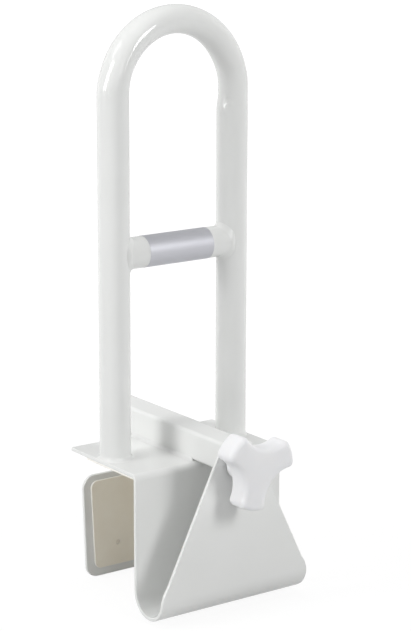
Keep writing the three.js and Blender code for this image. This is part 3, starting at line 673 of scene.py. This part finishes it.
guide_rows = [
    [(p.x, y, GUIDE_Z + p.y) for p in guide_section(draw_in)] for y, draw_in in GUIDE_STATIONS
]
guide = grid_mesh("square_guide_tube", guide_rows, smooth_angle=50)
place(even_normals(guide, VISUAL_WEIGHT), "frame", "guide_tube")


# Cross bar: plain tube; the beads hide its coped ends
ROUND_SIDES = 96
BAR_ROWS, BAR_SHORT = 24, 0.8  # the bar ends this far before its seam, under the bead


def bar_row(share):
    """Section of the bar, at a share of the half length from -1 to 1."""
    row = []
    for j in range(ROUND_SIDES):
        turn = 2 * math.pi * j / ROUND_SIDES
        half = LEG_X - bar_seam(math.sin(turn)) - BAR_SHORT
        row.append((half * share, TUBE_R * math.cos(turn), BAR_Z + TUBE_R * math.sin(turn)))
    return row


bar_rows = [bar_row(2 * k / BAR_ROWS - 1) for k in range(BAR_ROWS + 1)]
place(grid_mesh("bar_tube", bar_rows), "frame", "cross_bar")


# Moving jaw and the pads
JAW_Y = 48.0
JAW_TOP, JAW_BOTTOM = -23.5, -113.0
JAW_TOP_HALF, JAW_BOTTOM_HALF, JAW_CORNER = 58.5, 55.3, 11.0
SLIDE_BOTTOM = 7.6
NECK_HALF, NECK_ROOT_HALF, NECK_FLARE = 7.4, 24.04, 17.0
NECK_ROOT_CORNER, NECK_CORNER = 2.0, 3.0
PAD_THICK, PAD_CORNER = 2.0, 6
PAD_TOP_INSET, PAD_BOTTOM_INSET = 5, 7.5
PAD_TOP_MARGIN, PAD_BOTTOM_MARGIN = 6.6, 7.6  # at the sides
RIVET_HALF, RIVET_RISE, WELL_R, WELL_SIDES = 25.3, 27.0, 2.1, 24
FIXED_PAD_RISE = 16.0
RIM_PAD_THICK, RIM_PAD_HALF, RIM_PAD_REAR, RIM_PAD_CORNER = 2.5, 70, 25.0, 2
RIM_PAD_FRONT = BEND_Y + 0.5
# Roundings at the lower and the upper level of each sheet
JAW_EDGES, MOVING_PAD_EDGES = (0.8, 0.8), (0.45, 0.2)
FIXED_PAD_EDGES, RIM_PAD_EDGES = (0.2, 0.6), (0.5, 0.2)


def upright(x, y, level):
    return x, level, y


def lying(x, y, level):
    return x, y, level


def jaw_pad_outline(rise=0.0):
    lean = (JAW_TOP_HALF - JAW_BOTTOM_HALF) / (JAW_TOP - JAW_BOTTOM)
    top, bottom = JAW_TOP - PAD_TOP_INSET + rise, JAW_BOTTOM + PAD_BOTTOM_INSET + rise
    top_half = JAW_TOP_HALF - PAD_TOP_MARGIN - PAD_TOP_INSET * lean
    bottom_half = JAW_BOTTOM_HALF - PAD_BOTTOM_MARGIN + PAD_BOTTOM_INSET * lean
    return rounded([
        (-bottom_half, bottom, PAD_CORNER), (bottom_half, bottom, PAD_CORNER),
        (top_half, top, PAD_CORNER), (-top_half, top, PAD_CORNER),
    ])


def rivet_wells(rise=0.0):
    turns = [2 * math.pi * k / WELL_SIDES for k in range(WELL_SIDES)]
    z = JAW_BOTTOM + RIVET_RISE + rise
    return [
        [
            Vector((side * RIVET_HALF + WELL_R * math.cos(turn), z + WELL_R * math.sin(turn)))
            for turn in turns
        ]
        for side, _ in SIDES
    ]


jaw_outline = rounded([
    (-JAW_BOTTOM_HALF, JAW_BOTTOM, JAW_CORNER), (JAW_BOTTOM_HALF, JAW_BOTTOM, JAW_CORNER),
    (JAW_TOP_HALF, JAW_TOP, JAW_CORNER), (NECK_ROOT_HALF, JAW_TOP, NECK_ROOT_CORNER),
    (NECK_HALF, JAW_TOP + NECK_FLARE, NECK_CORNER), (NECK_HALF, SLIDE_BOTTOM, 0),
    (-NECK_HALF, SLIDE_BOTTOM, 0), (-NECK_HALF, JAW_TOP + NECK_FLARE, NECK_CORNER),
    (-NECK_ROOT_HALF, JAW_TOP, NECK_ROOT_CORNER), (-JAW_TOP_HALF, JAW_TOP, JAW_CORNER),
])
place(
    sheet_piece("jaw_plate", jaw_outline, JAW_Y, JAW_Y + SHEET, JAW_EDGES, upright, coat),
    "jaw", "moving_jaw",
)
place(
    sheet_piece(
        "jaw_plate_pad", jaw_pad_outline(), JAW_Y - PAD_THICK, JAW_Y, MOVING_PAD_EDGES,
        upright, rubber, rivet_wells(),
    ),
    "jaw", "moving_jaw_pad",
)
place(
    sheet_piece(
        "channel_pad", jaw_pad_outline(FIXED_PAD_RISE), JAW_FACE, JAW_FACE + PAD_THICK,
        FIXED_PAD_EDGES, upright, rubber, rivet_wells(FIXED_PAD_RISE),
    ),
    "frame", "fixed_jaw_pad",
)
rim_outline = rounded([
    (-RIM_PAD_HALF, RIM_PAD_FRONT, RIM_PAD_CORNER), (RIM_PAD_HALF, RIM_PAD_FRONT, RIM_PAD_CORNER),
    (RIM_PAD_HALF, RIM_PAD_REAR, RIM_PAD_CORNER), (-RIM_PAD_HALF, RIM_PAD_REAR, RIM_PAD_CORNER),
])
place(
    sheet_piece("rim_sheet", rim_outline, 0.0, RIM_PAD_THICK, RIM_PAD_EDGES, lying, rubber_mat),
    "frame", "rim_pad",
)


# Handle's tube. The bend flattens it, and the bending die left a mark inside the right bend.
# Distances of the mark go along the tube from that bend's start, upwards.
LEG_ROWS, ARCH_ROWS = 40, 150
MARK_STEP, MARK_ROWS, MARK_END, LOWER_ROWS = 0.7, 36, 25.2, 36  # rows below the right bend
FLATTENING, FLAT_ONSET = 0.1, 0.12
PRESS_DEPTH, PRESS_POWER = 2.4, 1.5
PRESS_ONSET, PRESS_FADE = (-20, -4), (0, 34)
DENT_DEPTH, DENT_BELOW, DENT_TURN, DENT_SLANT = 0.8, 9.5, 3.57, 4
DENT_WIDTH, DENT_LENGTH = 1.4, 3.0
WRINKLE_DEPTH, WRINKLE_STEP, WRINKLE_BELOW, WRINKLE_TURN = 0.07, 5.2, 12, 3.95
WRINKLE_WIDTH, WRINKLE_LENGTH = 2.6, 6


def ease(low, high, value):
    """0 below low, 1 above high, and an even curve between them."""
    part = min(1.0, max(0.0, (value - low) / (high - low)))
    return part * part * (3 - 2 * part)


def hump(across, width, along, length):
    return math.exp(-(across / width) ** 2 - (along / length) ** 2)


def die_mark(along, turn):
    """How far the bending die pressed the tube in, at a place along it and a turn round it."""
    press = PRESS_DEPTH * ease(*PRESS_ONSET, along) * (1 - ease(*PRESS_FADE, along))
    press *= max(0.0, -math.cos(turn)) ** PRESS_POWER
    dent_along = along + DENT_BELOW - (turn - DENT_TURN) * DENT_SLANT
    dent = DENT_DEPTH * hump((turn - DENT_TURN) * TUBE_R, DENT_WIDTH, dent_along, DENT_LENGTH)
    wrinkles = WRINKLE_DEPTH * math.sin(2 * math.pi * along / WRINKLE_STEP)
    wrinkles *= hump(
        (turn - WRINKLE_TURN) * TUBE_R, WRINKLE_WIDTH, along + WRINKLE_BELOW, WRINKLE_LENGTH,
    )
    return press + dent + wrinkles


def leg_row(side, z):
    row = []
    for j in range(ROUND_SIDES):
        turn = 2 * math.pi * j / ROUND_SIDES
        mark = die_mark(z - ARCH_Z, turn) if side > 0 else 0
        row.append((side * (LEG_X + TUBE_R * math.cos(turn) + mark), TUBE_R * math.sin(turn), z))
    return row


def arch_row(angle):
    """Section of the bend, at its angle from the left leg's top."""
    flat = FLATTENING * ease(0, math.pi * FLAT_ONSET, min(angle, math.pi - angle))
    row = []
    for j in range(ROUND_SIDES):
        turn = 2 * math.pi * j / ROUND_SIDES
        radius = LEG_X + TUBE_R * math.cos(turn) * (1 - flat)
        radius += die_mark((math.pi - angle) * LEG_X, turn)
        row.append((
            -radius * math.cos(angle),
            TUBE_R * math.sin(turn) * (1 + flat),
            ARCH_Z + radius * math.sin(angle),
        ))
    return row


rise = ARCH_Z - PLATE_TOP
hoop_rows = [leg_row(-1, PLATE_TOP + k * rise / LEG_ROWS) for k in range(LEG_ROWS)]
hoop_rows += [arch_row(math.pi * k / ARCH_ROWS) for k in range(ARCH_ROWS + 1)]
hoop_rows += [leg_row(1, ARCH_Z - MARK_STEP * k) for k in range(1, MARK_ROWS)]
hoop_rows += [
    leg_row(1, ARCH_Z - MARK_END - k * (rise - MARK_END) / LOWER_ROWS)
    for k in range(LOWER_ROWS + 1)
]
place(grid_mesh("handle_tube", hoop_rows), "frame", "hoop_tube")


# Knob: tips, corners and scoops are arcs, so an outline that is drawn in keeps their centres
KNOB_R, KNOB_VALLEY, KNOB_SCOOP, KNOB_CORNER, KNOB_TURN = 33.2, 16.7, 26.4, 5.0, 0.29
KNOB_BACK, KNOB_FRONT, HUB_BACK, HUB_R = -99.3, -119.3, -90.3, 13.5
KNOB_BACK_EDGE, KNOB_FRONT_EDGE, KNOB_CROWN = 2.6, 4.6, 0.4
HUB_NECK_R, HUB_EDGE, HUB_FILLET, HUB_SINK = 12.4, 1.1, 2.2, 1.5
TIP_STEPS, CORNER_STEPS, SCOOP_STEPS = 14, 10, 22
CENTRE_R = 0.01


def knob_outline(draw_in):
    corner_at, scoop_at = KNOB_R - KNOB_CORNER, KNOB_VALLEY + KNOB_SCOOP
    reach = KNOB_SCOOP + KNOB_CORNER
    half = math.pi / 3
    cosine = (corner_at ** 2 + scoop_at ** 2 - reach ** 2) / (2 * corner_at * scoop_at)
    tip = half - math.acos(cosine)
    points = []

    def arc(centre, radius, first, last, steps):
        for k in range(steps):
            x, y = polar(radius, first + (last - first) * k / steps)
            points.append((centre[0] + x, centre[1] + y))

    def polar(radius, angle):
        return radius * math.cos(angle), radius * math.sin(angle)

    for i in range(3):
        lobe = KNOB_TURN + 2 * half * i
        corner, scoop = polar(corner_at, lobe + tip), polar(scoop_at, lobe + half)
        following = polar(corner_at, lobe + 2 * half - tip)
        to_scoop = math.atan2(scoop[1] - corner[1], scoop[0] - corner[0])
        # brings the angle into the same turn as the corner's arc
        to_scoop += 2 * math.pi * round((lobe + tip + 1.2 - to_scoop) / (2 * math.pi))
        mirrored = 2 * (lobe + half) - to_scoop
        arc((0, 0), KNOB_R - draw_in, lobe - tip, lobe + tip, TIP_STEPS)
        arc(corner, KNOB_CORNER - draw_in, lobe + tip, to_scoop, CORNER_STEPS)
        scooped = KNOB_SCOOP + draw_in
        arc(scoop, scooped, to_scoop + math.pi, mirrored + math.pi, SCOOP_STEPS)
        arc(following, KNOB_CORNER - draw_in, mirrored, lobe + 2 * half - tip, CORNER_STEPS)
    return points


def knob_row(y, draw_in, scale=1.0):
    return [(x * scale, y, SCREW_Z + z * scale) for x, z in knob_outline(draw_in)]


knob_rows = [knob_row(KNOB_BACK, KNOB_BACK_EDGE, scale) for scale in (0.02, 0.3, 0.6, 0.85)]
for angle in quarter(6):
    y = KNOB_BACK - KNOB_BACK_EDGE * (1 - math.cos(angle))
    knob_rows.append(knob_row(y, KNOB_BACK_EDGE * (1 - math.sin(angle))))
for angle in quarter(8):
    y = KNOB_FRONT + KNOB_FRONT_EDGE * (1 - math.sin(angle)) + KNOB_CROWN
    knob_rows.append(knob_row(y, KNOB_FRONT_EDGE * (1 - math.cos(angle))))
for scale in (0.95, 0.85, 0.7, 0.5, 0.3, 0.1, 0.01):
    knob_rows.append(knob_row(KNOB_FRONT + KNOB_CROWN * (scale ** 4), KNOB_FRONT_EDGE, scale))


def turned_row(y, radius):
    """Row of a piece turned about the screw's axis."""
    turns = [2 * math.pi * j / ROUND_SIDES for j in range(ROUND_SIDES)]
    return [(radius * math.cos(turn), y, SCREW_Z + radius * math.sin(turn)) for turn in turns]


hub_profile = [(HUB_BACK, CENTRE_R), (HUB_BACK, HUB_NECK_R)]
for angle in quarter(4)[1:]:
    y = HUB_BACK - HUB_EDGE * (1 - math.cos(angle))
    hub_profile.append((y, HUB_NECK_R + HUB_EDGE * math.sin(angle)))
hub_profile.append((KNOB_BACK + HUB_FILLET, HUB_R))
for angle in quarter(6)[1:]:
    y = KNOB_BACK + HUB_FILLET * (1 - math.sin(angle))
    hub_profile.append((y, HUB_R + HUB_FILLET * (1 - math.cos(angle))))
hub_profile += [(KNOB_BACK - HUB_SINK, HUB_R + HUB_FILLET), (KNOB_BACK - HUB_SINK, CENTRE_R)]
hub_rows = [turned_row(*station) for station in hub_profile]

knob = grid_mesh("knob_body", knob_rows, material=plastic, smooth_angle=50)
hub = grid_mesh("knob_hub", hub_rows, material=plastic, smooth_angle=50)
place(knob, "knob", "knob")
place(hub, "knob")


# Label: foil wrapped round the bar, with its overlap at the back, lifting a little there
LABEL_HALF, LABEL_THICK, LABEL_GAP = 31, 0.1, 0.16
LABEL_START, LABEL_TURN = -178, 362
LABEL_LIFT, LABEL_LIFT_FROM = 0.14, 0.97
LABEL_SWELL = 0.012
LABEL_ROWS, LABEL_STEPS = 150, 24


def label_row(share):
    angle = math.radians(LABEL_START + LABEL_TURN * share)
    lifted = max(0.0, (share - LABEL_LIFT_FROM) / (1 - LABEL_LIFT_FROM))
    radius = TUBE_R + LABEL_GAP + LABEL_LIFT * lifted ** 2

    def point(x, r):
        return x, -r * math.cos(angle), BAR_Z + r * math.sin(angle)

    stations = [-LABEL_HALF + 2 * LABEL_HALF * k / LABEL_STEPS for k in range(LABEL_STEPS + 1)]
    row = []
    for x in stations:
        swell = math.sin(x * 0.9 + angle * 3) + math.sin(x * 0.31 - angle * 5)
        row.append(point(x, radius + LABEL_SWELL * swell))
    return row + [point(x, radius - LABEL_THICK) for x in reversed(stations)]


label_rows = [label_row(i / LABEL_ROWS) for i in range(LABEL_ROWS + 1)]
place(grid_mesh("foil_label", label_rows, material=foil), "frame", "label")

# Camera: turn and rise in degrees, 0 and 0 straight in front of the object

CAMERA_TURN, CAMERA_RISE, CAMERA_ROLL = -35.934, 13.372, 0.136
CAMERA_DISTANCE, AIM_RIGHT, AIM_HEIGHT = 1737.7, 25.619, 115.5
SENSOR, FOCAL_PIXELS, PHOTO_HEIGHT = 36.0, 2142.2, 631


def direction(turn, rise):
    turn, rise = math.radians(turn), math.radians(rise)
    return Vector((
        math.sin(turn) * math.cos(rise),
        -math.cos(turn) * math.cos(rise),
        math.sin(rise),
    ))


def aim(location, target, roll=0.0):
    back = (location - target).normalized()
    right = Vector((0, 0, 1)).cross(back).normalized()
    up = back.cross(right)
    turned_right = right * math.cos(roll) + up * math.sin(roll)
    turned_up = -right * math.sin(roll) + up * math.cos(roll)
    pose = Matrix((turned_right, turned_up, back)).transposed().to_4x4()
    pose.translation = location
    return pose


camera = bpy.data.objects.new("camera", bpy.data.cameras.new("camera"))
scene.collection.objects.link(camera)
camera_right = direction(CAMERA_TURN + 90, 0)
target = camera_right * AIM_RIGHT * MM + Vector((0, 0, AIM_HEIGHT * MM))
away = direction(CAMERA_TURN, CAMERA_RISE) * CAMERA_DISTANCE * MM
camera.matrix_world = aim(target + away, target, math.radians(CAMERA_ROLL))
camera.data.lens = SENSOR * FOCAL_PIXELS / PHOTO_HEIGHT
camera.data.sensor_width = SENSOR
camera.data.clip_start = 0.05
camera.data.clip_end = 30
scene.camera = camera

# Lamps, aimed at the object's middle. Fills leave no highlight.

LAMP_DISTANCE = 2.0
LAMP_TARGET = Vector((0, 0, 0.12))
LAMPS = (
    # name, turn, rise, width, height, power, shows in reflections
    ("key", -100.3, 23, 0.62, 0.95, 21.3, True),
    ("key_high", -122, 46, 0.6, 0.6, 3.2, True),
    ("front", 11, 27, 0.52, 0.6, 13.3, True),
    ("front_low", 10, 12, 0.16, 0.62, 2.6, True),
    ("front_left", -20, 18, 0.6, 0.6, 2.2, True),
    ("low_left", -70, 8, 0.8, 0.5, 1.4, False),
    ("top", 0, 88, 1.6, 1.6, 11.5, False),
    ("top_rear", 165, 62, 1.6, 1.6, 8.5, False),
    ("right", 90, 10, 1.6, 1.6, 17.5, False),
    ("rear", -165, 10, 1.6, 1.6, 11.0, False),
)

for name, turn, rise, width, height, power, mirrored in LAMPS:
    data = bpy.data.lights.new(name, "AREA")
    data.energy = power
    data.shape = "RECTANGLE"
    data.size = width
    data.size_y = height
    item = bpy.data.objects.new(name, data)
    item.visible_glossy = mirrored
    scene.collection.objects.link(item)
    location = LAMP_TARGET + direction(turn, rise) * LAMP_DISTANCE
    item.matrix_world = aim(location, LAMP_TARGET)

# White surroundings that the camera and reflections see, and that light nothing

REFLECTED_WHITE = 0.6  # share of the white surroundings that shows in reflections
PLAIN_COLOUR, PLAIN_STRENGTH = (0.975, 1.0, 0.98, 1), 0.085
FLOOR_HALF, FLOOR_DROP = 6, 0.0004
FLOOR_COLOUR, FLOOR_WHITE = (0.62, 0.62, 0.62, 1), 1.08
FLOOR_VEIL = 0.85  # share of white over the object's shadow; far from it the floor is all white
VEIL_NEAR, VEIL_FAR = 0.22, 0.70


def light_path_mix(tree, seen, unseen):
    """Camera rays get seen; glossy and transmission rays most of it; all others unseen."""
    path = tree.nodes.new("ShaderNodeLightPath")
    bent = tree.nodes.new("ShaderNodeMath")
    bent.operation = "ADD"
    tree.links.new(path.outputs["Is Glossy Ray"], bent.inputs[0])
    tree.links.new(path.outputs["Is Transmission Ray"], bent.inputs[1])
    total = tree.nodes.new("ShaderNodeMath")
    total.operation = "MULTIPLY_ADD"
    total.use_clamp = True
    tree.links.new(bent.outputs[0], total.inputs[0])
    total.inputs[1].default_value = REFLECTED_WHITE
    tree.links.new(path.outputs["Is Camera Ray"], total.inputs[2])
    mix = tree.nodes.new("ShaderNodeMixShader")
    tree.links.new(total.outputs[0], mix.inputs["Fac"])
    tree.links.new(unseen, mix.inputs[1])
    tree.links.new(seen, mix.inputs[2])
    return mix.outputs[0]


def studio_world():
    world = bpy.data.worlds.new("studio")
    world.use_nodes = True
    tree = world.node_tree
    plain = tree.nodes["Background"]
    plain.inputs["Color"].default_value = PLAIN_COLOUR
    plain.inputs["Strength"].default_value = PLAIN_STRENGTH
    white = tree.nodes.new("ShaderNodeBackground")
    white.inputs["Color"].default_value = (1, 1, 1, 1)
    white.inputs["Strength"].default_value = 1.0
    shown = light_path_mix(tree, white.outputs[0], plain.outputs[0])
    tree.links.new(shown, tree.nodes["World Output"].inputs["Surface"])
    return world


def pale_floor():
    """Floor that is white to the camera but for the object's soft shadow."""
    ground = bpy.data.materials.new("pale_floor")
    ground.use_nodes = True
    tree = ground.node_tree
    tree.nodes.clear()
    output = tree.nodes.new("ShaderNodeOutputMaterial")
    diffuse = tree.nodes.new("ShaderNodeBsdfDiffuse")
    diffuse.inputs["Color"].default_value = FLOOR_COLOUR
    white = tree.nodes.new("ShaderNodeEmission")
    white.inputs["Color"].default_value = (1, 1, 1, 1)
    white.inputs["Strength"].default_value = FLOOR_WHITE
    coords = tree.nodes.new("ShaderNodeTexCoord")
    reach = tree.nodes.new("ShaderNodeVectorMath")
    reach.operation = "LENGTH"
    tree.links.new(coords.outputs["Object"], reach.inputs[0])
    fade = tree.nodes.new("ShaderNodeMapRange")
    fade.interpolation_type = "SMOOTHSTEP"
    fade.inputs["From Min"].default_value = VEIL_NEAR
    fade.inputs["From Max"].default_value = VEIL_FAR
    fade.inputs["To Min"].default_value = FLOOR_VEIL
    fade.inputs["To Max"].default_value = 1.0
    tree.links.new(reach.outputs["Value"], fade.inputs["Value"])
    veil = tree.nodes.new("ShaderNodeMixShader")
    tree.links.new(fade.outputs["Result"], veil.inputs["Fac"])
    tree.links.new(diffuse.outputs[0], veil.inputs[1])
    tree.links.new(white.outputs[0], veil.inputs[2])
    shown = light_path_mix(tree, veil.outputs[0], diffuse.outputs[0])
    tree.links.new(shown, output.inputs["Surface"])
    return ground


scene.world = studio_world()

floor_z = cad_box[0].z - FLOOR_DROP
floor_corners = [
    (-FLOOR_HALF, -FLOOR_HALF, floor_z), (FLOOR_HALF, -FLOOR_HALF, floor_z),
    (FLOOR_HALF, FLOOR_HALF, floor_z), (-FLOOR_HALF, FLOOR_HALF, floor_z),
]
mesh = bpy.data.meshes.new("floor")
mesh.from_pydata(floor_corners, [], [(0, 1, 2, 3)])
floor = bpy.data.objects.new("floor", mesh)
scene.collection.objects.link(floor)
mesh.materials.append(pale_floor())

scene.view_settings.view_transform = "Standard"
